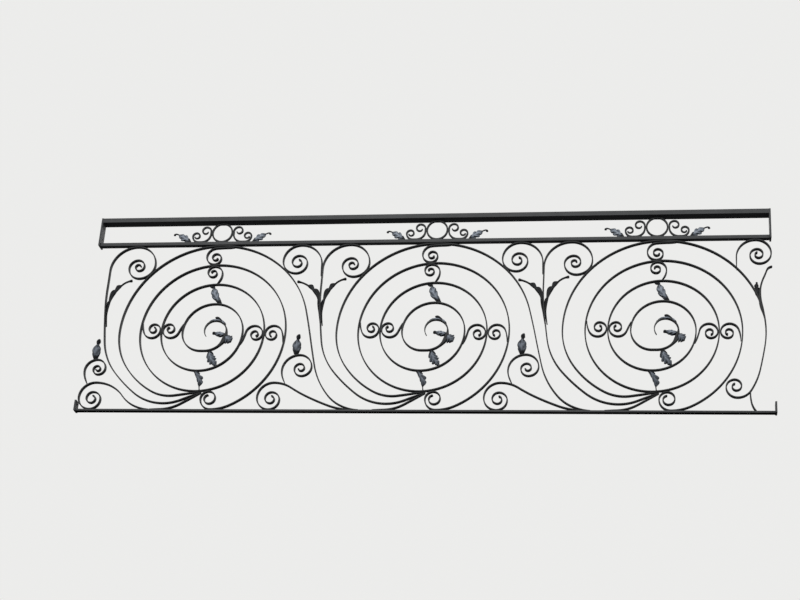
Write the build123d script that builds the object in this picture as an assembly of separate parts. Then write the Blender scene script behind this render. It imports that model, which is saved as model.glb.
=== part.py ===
from build123d import *
from math import asin, atan2, cos, degrees, hypot, pi, radians, sin, sqrt
import os

# A wrought iron balcony railing that runs between two walls: three bays of
# scrollwork under a narrow frieze. Millimetres. X runs along the railing, Y into
# the balcony and Z up. The origin is on the wall face of the left wall plate.

# Overall sizes
bay_count = 3
guard_height = 1010.0

# Rails
handrail_width = 50.0
handrail_thickness = 25.0
frieze_gap = 105.0
frieze_rail_width = 26.0
frieze_rail_thickness = 18.0
bottom_rail_width = 26.0
bottom_rail_thickness = 10.0

# Wall plates and their bolt holes
plate_thickness = 8.0
plate_hole = 11.0
plate_hole_spacing = 56.0
foot_plate_width = 40.0
foot_plate_height = 52.0
foot_hole_height = 34.0

# Square bar that the scrolls are bent from
bar = 12.0
frieze_bar = 8.0
scarf_tip = 3.0
eye_tip = 8.0
tendril_tip = 4.0
seat_gap = 0.2

# Heights that follow from the sizes
handrail_under = guard_height - handrail_thickness
frieze_floor = handrail_under - frieze_gap
crown = frieze_floor - frieze_rail_thickness
rail_top = bottom_rail_thickness
plate_middle = (guard_height + crown) / 2

# The ring pitch is the distance between two turns of the main spiral. Every reach
# and radius of the scrollwork is so many rings, so the drawing fills the panel.
ring_pitch = 0.1209 * (crown - rail_top)


def rings(count):
    return count * ring_pitch


# The two-centre spiral: half circles that grow by one ring pitch a turn
half = rings(0.5)
volute_radius = rings(1.4175)
inner_radius = volute_radius + ring_pitch
outer_radius = inner_radius + ring_pitch
arch_radius = outer_radius + ring_pitch
volute_lower_radius = rings(0.932)
volute_drift = rings(0.204)
volute_eye_radius = rings(0.563)
spiral_sweep_radius = rings(4.0)
spiral_tail_radius = rings(1.971)

# Lengths along the railing
bay_pitch = 2 * arch_radius + rings(1.359)
left_run = arch_radius + rings(1.602)
right_run = arch_radius + rings(0.359)
run_length = left_run + (bay_count - 1) * bay_pitch + right_run
stem_offset = arch_radius + rings(0.893)

# Radii of the small scrolls between the rings, on the bottom rail and at the right end
filler_radius = rings(0.385)
base_curl_radius = rings(0.718)
bud_curl_radius = rings(0.767)
left_bud_radius = rings(0.553)
end_curl_radius = rings(0.854)
end_foot_radius = rings(0.68)

# The drawing's heights are counted from the spiral's centre
centre_height = crown - bar / 2 - arch_radius
low = rail_top + bar / 2 - centre_height
high = crown - bar / 2 - centre_height


# A route is a start (x, z, heading in degrees) and steps of (length, curvature).
# Positive curvature turns left.
def move(state, length, curvature):
    x, z, heading = state
    a = radians(heading)
    if abs(curvature) < 1e-9:
        return (x + length * cos(a), z + length * sin(a), heading)
    b = a + length * curvature
    return (x + (sin(b) - sin(a)) / curvature, z - (cos(b) - cos(a)) / curvature, degrees(b))


def bend(radius, turn):
    return [(radius * abs(radians(turn)), (1 if turn > 0 else -1) / radius)]


def straight(length):
    return [(length, 0.0)]


def follow(start, steps):
    for length, curvature in steps:
        start = move(start, length, curvature)
    return start


def reverse(start, steps):
    x, z, heading = follow(start, steps)
    return (x, z, heading + 180), [(length, -curvature) for length, curvature in reversed(steps)]


def arc_to(state, x, z):
    # the one arc that leaves along the heading and ends on the point
    a = radians(state[2])
    dx, dz = x - state[0], z - state[1]
    chord = hypot(dx, dz)
    turn = 2 * atan2(cos(a) * dz - sin(a) * dx, cos(a) * dx + sin(a) * dz)
    if abs(turn) < 1e-6:
        return [(chord, 0.0)]
    curvature = 2 * sin(turn / 2) / chord
    return [(turn / curvature, curvature)]


def blend(state, x, z, heading):
    # two tangent arcs with equal tangent lengths
    a, b = radians(state[2]), radians(heading)
    vx, vz = x - state[0], z - state[1]
    tx, tz = cos(a) + cos(b), sin(a) + sin(b)
    k = 2 * (1 - cos(a - b))
    dot = vx * tx + vz * tz
    size = vx * vx + vz * vz
    d = size / (2 * dot) if k < 1e-6 else (sqrt(dot * dot + k * size) - dot) / k
    mx = (state[0] + x + d * (cos(a) - cos(b))) / 2
    mz = (state[1] + z + d * (sin(a) - sin(b))) / 2
    first = arc_to(state, mx, mz)
    return first + arc_to(follow(state, first), x, z)


def through(start, *knots):
    steps = []
    for knot in knots:
        steps = steps + blend(follow(start, steps), *knot)
    return steps


def curl(radius, ratio, quarters, hand):
    # quarter turns, each tighter than the last by the same ratio
    steps = []
    for n in range(quarters):
        steps = steps + bend(radius * ratio**n, 90 * hand)
    return steps


def wind(radius, step, quarters, hand):
    # quarter turns that lose the same share of the first radius each time
    steps = []
    for n in range(quarters):
        steps = steps + bend(radius * (1 - step * n), 90 * hand)
    return steps


def settle(gap, small_end, large_end):
    # the size at which the gap closes, between two sizes on either side of it
    for n in range(50):
        middle = (small_end + large_end) / 2
        if (gap(middle) > 0) == (gap(small_end) > 0):
            small_end = middle
        else:
            large_end = middle
    return middle


def before(state, radius, turn):
    # where an arc of this radius and turn starts, if it is to end in the given state
    x, z, heading = follow((state[0], state[1], state[2] + 180), bend(radius, -turn))
    return (x, z, heading - 180)


def on_ring(cx, radius, angle, hand):
    # a point of a ring of the spiral and the heading along it
    a = radians(angle)
    return (cx + radius * cos(a), radius * sin(a), angle + 90 * hand)


def bar_face(start, steps, width=bar, first=None, last=None, lead=60.0, tail=80.0):
    # a bar seen from the front, with its ends drawn down to the given widths
    total = sum(length for length, curvature in steps)
    first = width if first is None else first
    last = width if last is None else last
    lead, tail = min(lead, total / 2), min(tail, total / 2)

    def thickness(s):
        if s < lead:
            return first + (width - first) * s / lead
        if s > total - tail:
            return last + (width - last) * (total - s) / tail
        return width

    def offset(state, s, side):
        x, z, heading = state
        a = radians(heading + 90 * side)
        reach = thickness(s) / 2
        return (x + reach * cos(a), z + reach * sin(a))

    left, right = [], []
    state, s = start, 0.0
    for length, curvature in steps:
        marks = [s] + [m for m in (lead, total - tail) if s + 1 < m < s + length - 1] + [s + length]
        for s0, s1 in zip(marks, marks[1:]):
            middle = move(state, (s1 - s0) / 2, curvature)
            end = move(state, s1 - s0, curvature)
            for edges, side in ((left, 1), (right, -1)):
                a, b = offset(state, s0, side), offset(end, s1, side)
                if abs(curvature) < 1e-6:
                    edges.append(Line(a, b))
                else:
                    edges.append(ThreePointArc(a, offset(middle, (s0 + s1) / 2, side), b))
            state = end
        s += length
    caps = [Line(left[0] @ 0, right[0] @ 0), Line(left[-1] @ 1, right[-1] @ 1)]
    return Sketch() + Face(Wire(left + caps + right))


def leaf_face(start, steps, width, root=6.0, tip=4.0, lobes=3, share=0.8, peak=1.0, sides=(1, 1)):
    # a leaf with scalloped edges along a route; past its share of the length it is a tendril
    total = sum(length for length, curvature in steps)

    def place(t, side, swell):
        s, state = t * total, start
        for length, curvature in steps:
            if s <= length + 1e-6:
                break
            state, s = move(state, length, curvature), s - length
        x, z, heading = move(state, s, curvature)
        grown = min(1, t / share)
        stalk = root + (tip - root) * grown
        blade = sides[0 if side > 0 else 1] * width - stalk
        reach = stalk / 2 + blade / 2 * swell * sin(pi * grown**peak) ** 0.8
        a = radians(heading + 90 * side)
        return (x + reach * cos(a), z + reach * sin(a))

    marks = [share * n / lobes for n in range(lobes)] + [share, (1 + share) / 2, 1.0]
    edges = []
    for side in (1, -1):
        for t0, t1 in zip(marks, marks[1:]):
            a, b = place(t0, side, 0.6), place(t1, side, 0.6)
            bulge = (t0 + 2 * t1) / 3 if t0 < share else (t0 + t1) / 2
            edges.append(ThreePointArc(a, place(bulge, side, 1.0), b))
    ends = [Line(place(0.0, 1, 0.6), place(0.0, -1, 0.6)), Line(place(1.0, 1, 0.6), place(1.0, -1, 0.6))]
    return Sketch() + Face(Wire(edges + ends))


def less(face, *others):
    # cut back where the bar would run into another, with the small parts dropped
    for other in others:
        face = face - other
    return Sketch() + max(face.faces(), key=lambda piece: piece.area)


def beside(face, bays=1):
    return Pos(-bays * bay_pitch, 0, 0) * face


def upright(face, depth=bar):
    # stands a drawing up in the plane of the railing
    plane = Plane((0, 0, centre_height - plate_middle), x_dir=(1, 0, 0), z_dir=(0, -1, 0))
    return extrude(plane * face, depth / 2, both=True).solids()


def placed(solids, x):
    return [Pos(x, 0, 0) * one for one in solids]


def block(x0, x1, width, z0, z1):
    middle = Pos((x0 + x1) / 2, 0, (z0 + z1) / 2 - plate_middle)
    return middle * Box(x1 - x0, width, z1 - z0)


def export(name, *solids):
    export_step(Compound(list(solids)), "parts/" + name + ".step")


centres = [left_run + n * bay_pitch for n in range(bay_count)]
upper = 0.0
lower = -half

# The main spiral, drawn inwards from the right-hand side of its largest ring
inward = bend(outer_radius, 180) + bend(outer_radius - half, 180)
inward = inward + bend(inner_radius, 180) + bend(inner_radius - half, 180)
drop = asin((-low - spiral_tail_radius) / (spiral_sweep_radius - spiral_tail_radius))
outward = bend(spiral_sweep_radius, -degrees(drop)) + bend(spiral_tail_radius, degrees(drop) - 90)
tail_foot = follow((outer_radius, 0.0, -90.0), outward)
tail_ratio = 0.72


def tail_gap(radius):
    second = radius * tail_ratio
    reach = hypot(tail_foot[0] - radius + second - lower, low + radius)
    return reach - second - (outer_radius - half) - bar - seat_gap


tail_turn_radius = settle(tail_gap, bar, 2 * ring_pitch)
outward = outward + bend(tail_turn_radius, -90) + wind(tail_turn_radius * tail_ratio, 0.12, 5, -1)
start, steps = reverse((outer_radius, 0.0, -90.0), outward)
spiral_route = (start, steps + inward)
spiral = bar_face(*spiral_route, first=eye_tip)

# The centre volute goes on where the main spiral ends
volute_start = (volute_radius, 0.0, 90.0)
volute_steps = bend(volute_radius, 180) + bend(volute_lower_radius, 90) + straight(volute_drift)
volute_steps = volute_steps + bend(volute_lower_radius * 1.01, 90) + bend(volute_eye_radius, 90)
volute_steps = volute_steps + bend(volute_eye_radius * 0.86, 100)
volute_route = (volute_start, volute_steps)
volute = bar_face(*volute_route, last=tendril_tip, tail=rings(1.7))

# The bundle, where the bars meet under the spiral
bundle_x = rings(-0.184)
bundle_z = -sqrt((outer_radius - half) ** 2 - (bundle_x - lower) ** 2)

# The outer arch: its left foot sweeps into the bundle, its right foot runs out to the rail
leave = 14.0
left_foot_start = (-arch_radius, 0.0, -90.0)
left_foot = through(left_foot_start, (-arch_radius + rings(1.864), bundle_z - bar / 4, -29),
                    (bundle_x, bundle_z - bar * 0.8, 8))
arch_start, foot_steps = reverse(left_foot_start, left_foot)
arch_common = foot_steps + bend(arch_radius, leave - 180)
arch_side = follow(arch_start, arch_common)
right_foot = through(arch_side, (arch_radius + rings(0.476), rings(-1.65), -77),
                     (bay_pitch - rings(3.136), low, 0))
arch_route = (arch_start, arch_common + right_foot)
arch = bar_face(*arch_route, first=scarf_tip, last=scarf_tip, lead=90)

# The last arch closes on itself beside the right wall
last_common = arch_common + bend(arch_radius, -leave - 10)
last_side = follow(arch_start, last_common)
last_foot = through(last_side, (arch_radius - rings(0.709), rings(-2.864), -122))
last_foot = last_foot + bend(end_foot_radius, -58) + curl(end_foot_radius * 0.69, 0.78, 6, -1)
last_arch_route = (arch_start, last_common + last_foot)
last_arch = bar_face(*last_arch_route, first=scarf_tip, last=eye_tip, lead=90)

# A riser from the bottom rail to the bundle
riser_start = (rings(-2.544), low, 0.0)
riser_flat = straight(rings(0.485))
riser_rise = through(follow(riser_start, riser_flat), (bundle_x, bundle_z - bar * 2, 28))
riser_route = (riser_start, riser_flat + riser_rise)
riser = bar_face(*riser_route, first=scarf_tip, last=scarf_tip)

# The stem: from the bundle under the arch, up between the bays and over in a scroll
stem_ratio = 0.76


def stem_gap(radius):
    second, third = radius * stem_ratio, radius * stem_ratio**2
    x = -stem_offset + radius + second - third
    return hypot(x, high - second) - third - arch_radius - bar - seat_gap


stem_curl_radius = settle(stem_gap, bar, 3 * ring_pitch)
stem_start = (bundle_x, bundle_z - bar * 1.4, 200.0)
stem_steps = through(stem_start, (rings(-2.0), rings(-3.505), 178), (rings(-4.388), rings(-1.99), 130),
                     (-stem_offset + bar / 2, rings(1.3), 95), (-stem_offset, high - stem_curl_radius, 90))
stem_route = (stem_start, stem_steps + curl(stem_curl_radius, stem_ratio, 10, -1))
stem = bar_face(*stem_route, first=scarf_tip, last=eye_tip)

# Its mate, a scroll over the arch of the bay before
mate_ratio = 0.79


def mate_gap(radius):
    second, third = radius * mate_ratio, radius * mate_ratio**2
    x = bay_pitch - stem_offset - bar - radius - second + third
    return hypot(x, high - second) - third - arch_radius - bar - seat_gap


mate_curl_radius = settle(mate_gap, bar, 2 * ring_pitch)
mate_foot = straight(rings(0.583))
mate_start = (-stem_offset - bar, high - mate_curl_radius - rings(0.583), 90.0)
mate_route = (mate_start, mate_foot + curl(mate_curl_radius, mate_ratio, 9, 1))
mate = bar_face(*mate_route, first=scarf_tip, last=eye_tip)

# Small scrolls that fill the space between two rings. Each leaves one ring along its
# face, turns over and touches the next ring, where its first quarter turn ends.
filler_ratio = 0.78
filler_scarf = 5.6
beside_ring = bar + seat_gap
tail_reach = (bar + scarf_tip) / 2 + seat_gap


def filler(tip, touch, hand):
    shoulder = before(touch, filler_radius, 90 * hand)
    return (tip, through(tip, shoulder) + curl(filler_radius, filler_ratio, 6, hand))


def tail_tip(cx, radius, side, angle):
    # on the face of a ring, outside or inside it, and tilted away from it by the scarf
    x, z, heading = on_ring(cx, radius + side * tail_reach, angle, 1)
    return (x, z, heading - side * filler_scarf)


outside = inner_radius + beside_ring
inside = inner_radius - beside_ring
right_touch = rings(-0.08)
left_touch = rings(0.1)
crown_touch = 94.5
side_routes = [
    filler(tail_tip(lower, outer_radius + half, -1, -8), (outside, right_touch, -90), 1),
    filler(tail_tip(lower, volute_radius + half, 1, -19), (inside, right_touch, -90), -1),
    filler(tail_tip(upper, outer_radius, -1, 172), (-outside, left_touch, 90), 1),
    filler(tail_tip(upper, volute_radius, 1, 163), (-inside, left_touch, 90), -1),
]
lower_tip = (rings(-0.078), inner_radius, 48.0)
crown_routes = [
    filler(tail_tip(upper, arch_radius, -1, 82),
           on_ring(upper, outer_radius + beside_ring, crown_touch, -1), 1),
    filler(lower_tip, on_ring(upper, outer_radius - beside_ring, crown_touch, 1), 1),
]
side_scrolls = [bar_face(*route, first=scarf_tip, last=eye_tip, lead=30) for route in side_routes]
crown_scrolls = [bar_face(*route, first=scarf_tip, last=eye_tip, lead=30) for route in crown_routes]

# The scroll on the bottom rail, with its long tail
base_top_x = rings(3.126)
base_ratio = 0.8
base_top_z = low + base_curl_radius * (1 + base_ratio)


def base_route(top_x, tail_x, *shoulder):
    tip = (tail_x, low, 180.0)
    steps = through(tip, *shoulder, (top_x, base_top_z, 180))
    return (tip, steps + curl(base_curl_radius, base_ratio, 8, 1))


left_base_x = plate_thickness - left_run + base_curl_radius + bar / 2 + seat_gap
base_routes = [base_route(base_top_x, bay_pitch - rings(3.447), (rings(4.67), rings(-3.165), 154)),
               base_route(left_base_x, riser_start[0])]
bases = [bar_face(*route, first=scarf_tip, last=eye_tip) for route in base_routes]

# The bud scroll that stands on it
bud_ratio = 0.76


def bud_route(root_x, radius):
    begin = (root_x, base_top_z - rings(0.1), 118.0)
    steps = through(begin, (root_x - rings(0.223), base_top_z + rings(0.583), 90))
    return (begin, steps + curl(radius, bud_ratio, 8, -1))


bud_routes = [bud_route(base_top_x + rings(0.524), bud_curl_radius),
              bud_route(left_base_x - rings(0.408), left_bud_radius)]
bud_scrolls = [bar_face(*route, first=scarf_tip, last=eye_tip, lead=30) for route in bud_routes]

# The scroll over the last arch, beside the right wall
end_ratio = 0.78
end_x = right_run - bar / 2 - seat_gap - end_curl_radius * (1 + end_ratio)
end_rise = rings(0.64)
end_scroll_start = (end_x, high - end_curl_radius - end_rise, 90.0)
end_scroll_steps = straight(end_rise) + curl(end_curl_radius, end_ratio, 9, -1)
end_scroll_route = (end_scroll_start, end_scroll_steps)
end_scroll = bar_face(*end_scroll_route, first=scarf_tip, last=eye_tip)

# The leaf bar that springs from the last arch to the wall, and the brace under its foot
end_bar_start = (arch_radius - rings(0.039), rings(0.524), 96.0)
end_bar_steps = through(end_bar_start, (arch_radius - rings(0.214), rings(1.534), 92),
                        (arch_radius - rings(0.029), rings(2.544), 66), (right_run, rings(3.068), 0))
end_bar_route = (end_bar_start, end_bar_steps)
end_bar = bar_face(*end_bar_route, first=scarf_tip)
brace_start = (arch_radius - rings(0.738), rings(-2.922), -92.0)
brace_route = (brace_start, through(brace_start, (arch_radius - rings(0.505), low - bar / 2, -50)))
brace = bar_face(*brace_route)

# Leaves on the spiral: three between the rings and three on the centre volute
eye_right = follow(volute_start, volute_steps[:4])
eye_x = eye_right[0] - volute_eye_radius
eye_face = volute_eye_radius + bar / 2


def leaf(begin, knots, hook, width, **form):
    steps = through(begin, *knots) + (bend(*hook) if hook else [])
    return leaf_face(begin, steps, rings(width), **form)


leaves = [
    leaf((rings(0.233), volute_radius, 125),
         [(rings(-0.1), rings(1.95), 106), (rings(-0.175), rings(2.24), 98)],
         (rings(0.08), 150), 0.35, tip=rings(0.06), peak=1.6),
    leaf((rings(-0.02), -volute_lower_radius, -84),
         [(rings(0.06), rings(-1.28), -66), (rings(0.37), rings(-1.7), -50)],
         None, 0.38, root=rings(0.2), share=0.85, peak=0.75),
    leaf((rings(-0.67), rings(-1.88), -45),
         [(rings(-0.41), rings(-2.31), -66), (rings(-0.3), rings(-2.92), -82)],
         None, 0.34, share=0.8, sides=(0.4, 1.3)),
    leaf((rings(0.6), rings(-0.24), -18), [(rings(0.98), rings(-0.3), 0)],
         None, 0.43, root=rings(0.16), share=0.92),
    leaf((eye_right[0], rings(-0.13), 188), [(0.0, rings(-0.03), 165)],
         None, 0.25, root=rings(0.08), tip=rings(0.07)),
    leaf(on_ring(eye_x, eye_face, 42, 1), [(rings(0.16), rings(0.84), 176)],
         (rings(0.06), 110), 0.19, share=0.75),
]
leaves = [less(one, spiral, volute) for one in leaves]

# The pair of leaves that parts from each stem, toothed on the side of the stem
stem_leaf_form = {"root": bar / 2, "tip": bar / 2, "lobes": 4, "share": 0.7, "peak": 1.5}
stem_leaf_width = 0.3
stem_leaf_root = rings(1.0)
left_leaf = leaf((-stem_offset - rings(0.01), stem_leaf_root, 98),
                 [(-stem_offset - rings(0.21), rings(1.913), 124),
                  (-stem_offset - rings(1.155), rings(2.553), 172)],
                 None, stem_leaf_width, sides=(0.4, 1.2), **stem_leaf_form)
right_leaf = leaf((-stem_offset + rings(0.12), stem_leaf_root, 84),
                  [(-stem_offset + rings(0.34), rings(1.99), 62),
                   (-stem_offset + rings(1.155), rings(2.67), 4)],
                  None, stem_leaf_width, sides=(1.2, 0.4), **stem_leaf_form)
end_leaf = leaf((arch_radius - rings(0.27), rings(1.5), 96),
                [(arch_radius - rings(0.34), rings(2.33), 90)],
                None, 0.17, root=5.0, tip=scarf_tip, share=0.9)

# The frieze: a ring between the rails, a scroll with two curls and a leaf on each side
ring_radius = frieze_gap / 2
frieze_middle = frieze_floor + ring_radius - centre_height
frieze_low = frieze_floor + frieze_bar / 2 - centre_height
ring_offset = -0.173 * ring_radius
frieze_ring = Pos(ring_offset, frieze_middle) * (Circle(ring_radius) - Circle(ring_radius - frieze_bar))
near_start = (1.885 * ring_radius, frieze_low, 180.0)
near_steps = bend(0.808 * ring_radius, -90) + straight(0.269 * ring_radius)
near_steps = near_steps + wind(0.442 * ring_radius, 0.16, 4, -1)
far_steps = straight(0.308 * ring_radius) + bend(0.577 * ring_radius, 90)
far_steps = far_steps + wind(0.346 * ring_radius, 0.14, 4, 1)
scroll_start, near_back = reverse(near_start, near_steps)
scroll_steps = near_back + far_steps
frieze_scroll = bar_face(scroll_start, scroll_steps, frieze_bar, 5.0, 4.0, 30.0, 40.0)
frieze_leaf_start = (2.885 * ring_radius, frieze_low, 20.0)
frieze_leaf_steps = through(frieze_leaf_start, (3.7 * ring_radius, frieze_low + 0.55 * ring_radius, 36),
                            (4.4 * ring_radius, frieze_low + 1.08 * ring_radius, 22))
frieze_leaf_steps = frieze_leaf_steps + bend(0.15 * ring_radius, -120)
frieze_leaf = leaf_face(frieze_leaf_start, frieze_leaf_steps, 0.75 * ring_radius, share=0.72)
frieze_seat = Pos(0, frieze_floor - frieze_rail_thickness / 2 - centre_height)
frieze_leaf = less(frieze_leaf, frieze_scroll, frieze_seat * Rectangle(bay_pitch, frieze_rail_thickness))
scroll_side = less(Pos(ring_offset, 0) * frieze_scroll, frieze_ring)
leaf_side = Pos(ring_offset, 0) * frieze_leaf

# Joints: each bar is cut back to the face of the bar that it meets
arch = less(arch, spiral)
last_arch = less(last_arch, spiral)
stem = less(stem, arch, spiral)
riser = less(riser, stem, arch, spiral)
mate = less(mate, stem, beside(arch))
side_scrolls = [less(one, spiral, volute) for one in side_scrolls]
crown_scrolls = [less(one, spiral, arch) for one in crown_scrolls]
bases = [less(bases[0], arch, spiral), less(bases[1], stem)]
bud_scrolls = [less(bud_scrolls[0], bases[0], arch), less(bud_scrolls[1], bases[1], stem)]
end_scroll = less(end_scroll, last_arch)
end_bar = less(end_bar, last_arch)
brace = less(brace, last_arch, Pos(0, low - bar) * Rectangle(4 * arch_radius, bar))
left_leaf = less(left_leaf, stem)
right_leaf = less(right_leaf, stem)
end_leaf = less(end_leaf, end_bar, last_arch)


# The bud: a closed leaf with a hooked tip that stands upright on each bud scroll
bud_height = rings(1.02)
bud_reach = rings(0.175)
bud_hook = rings(0.075)
bud_sides = 10
bud_body_share = 0.85


def bud_section(t):
    # a swelling body up to its share of the height, then a knob that leans out
    if t < bud_body_share:
        reach, lean = 0.45 + 0.55 * sin(pi * (t / bud_body_share) ** 1.25) ** 1.5, 0.0
    else:
        lean = (t - bud_body_share) / (1 - bud_body_share)
        reach = 0.62 * sqrt(1 - (1.5 * lean - 0.72) ** 2)
    flat = scale(RegularPolygon(bud_reach * reach, bud_sides), (1, 0.8, 1))
    return Pos(bud_hook * lean, 0, bud_height * t) * flat


def bud(route, radius, scroll):
    top = follow(route[0], route[1][:2] + bend(radius, -76))
    marks = [bud_body_share * n / 7 for n in range(7)] + [bud_body_share + 0.05 * n for n in range(4)]
    body = loft([bud_section(t) for t in marks], ruled=True)
    z = top[1] + centre_height - plate_middle
    body = Pos(top[0], 0, z) * body - Compound(upright(scroll, 4 * bar))
    return [max(body.solids(), key=lambda piece: piece.volume)]


first, last = centres[0], centres[-1]
inner = centres[:-1]
os.makedirs("parts", exist_ok=True)

# Rails and wall plates
rail_end = run_length - plate_thickness
handrail = block(plate_thickness, rail_end, handrail_width, handrail_under, guard_height)
handrail = fillet(handrail.edges().filter_by(Axis.X), 2.5)
export("handrail", handrail.solid())
export("frieze_rail", block(plate_thickness, rail_end, frieze_rail_width, crown, frieze_floor).solid())
export("bottom_rail", block(plate_thickness, rail_end, bottom_rail_width, 0, rail_top).solid())
bolt = Rot(0, 90, 0) * Cylinder(plate_hole / 2, 3 * plate_thickness)
foot_bolt = Pos(0, 0, foot_hole_height - plate_middle) * bolt
frieze_centre = frieze_floor + ring_radius - plate_middle
for side, x in (("left", 0.0), ("right", rail_end)):
    plate = block(x, x + plate_thickness, handrail_width, crown, guard_height)
    for up in (-0.5, 0.5):
        plate = plate - Pos(x, 0, frieze_centre + up * plate_hole_spacing) * bolt
    foot = block(x, x + plate_thickness, foot_plate_width, 0, foot_plate_height) - Pos(x, 0, 0) * foot_bolt
    export(side + "_wall_plate", plate.solid())
    export(side + "_foot_plate", foot.solid())

# Scrollwork, one node for each kind of piece
arches = [one for x in inner for one in placed(upright(arch), x)] + placed(upright(last_arch), last)
export("outer_arches", *arches)
for name, faces in (("main_spirals", [spiral]), ("centre_volutes", [volute]), ("stem_scrolls", [stem]),
                    ("risers", [riser]), ("side_scrolls", side_scrolls), ("crown_scrolls", crown_scrolls),
                    ("spiral_leaves", leaves)):
    depth = bar if name != "spiral_leaves" else bar * 0.75
    export(name, *[one for x in centres for face in faces for one in placed(upright(face, depth), x)])
export("mate_scrolls", *[one for x in centres[1:] for one in placed(upright(mate), x)])
inner_bud = bud(bud_routes[0], bud_curl_radius, bud_scrolls[0])
left_bud = bud(bud_routes[1], left_bud_radius, bud_scrolls[1])
for name, inner_one, left_one in (("base_scrolls", upright(bases[0]), upright(bases[1])),
                                  ("bud_scrolls", upright(bud_scrolls[0]), upright(bud_scrolls[1])),
                                  ("buds", inner_bud, left_bud)):
    export(name, *placed(left_one, first), *[one for x in inner for one in placed(inner_one, x)])
stem_leaves = [one for x in centres for one in placed(upright(right_leaf, bar * 0.75), x)]
stem_leaves = stem_leaves + [one for x in centres[1:] for one in placed(upright(left_leaf, bar * 0.75), x)]
export("stem_leaves", *stem_leaves)

# Frieze: its last ornament stands a little nearer to its stem than the others
frieze_centres = centres[:-1] + [last + rings(-0.17)]
ring = upright(frieze_ring, frieze_bar)
export("frieze_rings", *[one for x in frieze_centres for one in placed(ring, x)])
for name, face in (("frieze_scrolls", scroll_side), ("frieze_leaves", leaf_side)):
    pair = upright(face, frieze_bar)
    pair = pair + [mirror(one, Plane.YZ.offset(ring_offset)) for one in pair]
    export(name, *[one for x in frieze_centres for one in placed(pair, x)])

# The pieces beside the right wall
export("end_scroll", *placed(upright(end_scroll), last))
export("end_leaf_bar", *placed(upright(end_bar), last))
export("end_leaf", *placed(upright(end_leaf, bar * 0.75), last))
export("end_brace", *placed(upright(brace), last))
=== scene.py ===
from math import asin, atan2, cos, degrees, hypot, radians, sin, sqrt

import bpy
import numpy as np
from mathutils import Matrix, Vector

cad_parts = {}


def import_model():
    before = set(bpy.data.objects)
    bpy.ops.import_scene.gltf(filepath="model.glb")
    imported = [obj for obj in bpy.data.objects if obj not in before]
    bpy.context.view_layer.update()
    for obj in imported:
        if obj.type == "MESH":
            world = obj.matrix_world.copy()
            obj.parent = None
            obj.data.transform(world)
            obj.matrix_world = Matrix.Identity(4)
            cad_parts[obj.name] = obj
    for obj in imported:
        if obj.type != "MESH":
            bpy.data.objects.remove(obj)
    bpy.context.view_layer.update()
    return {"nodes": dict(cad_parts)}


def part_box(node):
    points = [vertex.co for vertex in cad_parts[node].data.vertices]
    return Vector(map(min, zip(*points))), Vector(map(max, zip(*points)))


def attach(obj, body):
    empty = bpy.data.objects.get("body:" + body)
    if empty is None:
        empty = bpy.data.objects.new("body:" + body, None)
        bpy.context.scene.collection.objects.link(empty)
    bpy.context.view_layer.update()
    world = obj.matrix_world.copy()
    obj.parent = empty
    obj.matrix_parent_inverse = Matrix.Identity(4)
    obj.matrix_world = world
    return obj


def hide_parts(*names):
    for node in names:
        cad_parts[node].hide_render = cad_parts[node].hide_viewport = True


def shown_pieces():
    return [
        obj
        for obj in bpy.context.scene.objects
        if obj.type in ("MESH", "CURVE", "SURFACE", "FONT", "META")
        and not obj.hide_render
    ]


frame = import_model()
print("frame loaded:", len(frame["nodes"]), "nodes")

# The scrollwork is drawn flat, in millimetres, with x along the railing from the
# middle of a spiral and z up from the same point. Rings are the spiral's pitch.
board = {
    "bar": 6.0,             # thickness of the scrolls' flat bar, as seen from the front
    "deep": 20.0,           # its width, which runs from front to back
    "friezeBar": 8.0,       # thickness of the frieze's narrower bar
    "friezeDeep": 11.0,     # and its width
    "round": 1.1,           # corner radius of the bars
    "ringShare": 0.1209,    # ring pitch as a share of the panel's height
    "scarf": 3.0,           # drawn-down tip where a bar lies against another
    "eye": 6.0,             # tip inside a scroll
    "tendril": 4.0,         # tip of the volute, under its leaf
    "tailSeat": 9.0,        # from the middle of a spiral's tail to the middle of its ring
    "seat": 0.2,            # gap that a solved curl keeps to its neighbour
}
bar = board["bar"]
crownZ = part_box("frieze_rail")[0].z * 1000
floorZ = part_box("frieze_rail")[1].z * 1000
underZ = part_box("handrail")[0].z * 1000
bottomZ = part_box("bottom_rail")[1].z * 1000
pitch = board["ringShare"] * (crownZ - bottomZ)


def rings(count):
    return count * pitch


def move(state, length, curvature):
    # the end of an arc: heading grows by curvature times length
    x, z, heading = state
    a = radians(heading)
    if abs(curvature) < 1e-9:
        return (x + length * cos(a), z + length * sin(a), heading)
    b = a + length * curvature
    return (x + (sin(b) - sin(a)) / curvature, z - (cos(b) - cos(a)) / curvature, degrees(b))


def bend(radius, turn):
    return [(radius * abs(radians(turn)), (1 if turn > 0 else -1) / radius)]


def straight(length):
    return [(length, 0.0)]


def follow(start, steps):
    for length, curvature in steps:
        start = move(start, length, curvature)
    return start


def reverse(start, steps):
    x, z, heading = follow(start, steps)
    return (x, z, heading + 180), [(length, -curvature) for length, curvature in reversed(steps)]


def arcTo(state, x, z):
    # the one arc that leaves along the heading and ends on the point
    a = radians(state[2])
    dx, dz = x - state[0], z - state[1]
    chord = hypot(dx, dz)
    turn = 2 * atan2(cos(a) * dz - sin(a) * dx, cos(a) * dx + sin(a) * dz)
    if abs(turn) < 1e-6:
        return [(chord, 0.0)]
    curvature = 2 * sin(turn / 2) / chord
    return [(turn / curvature, curvature)]


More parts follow.
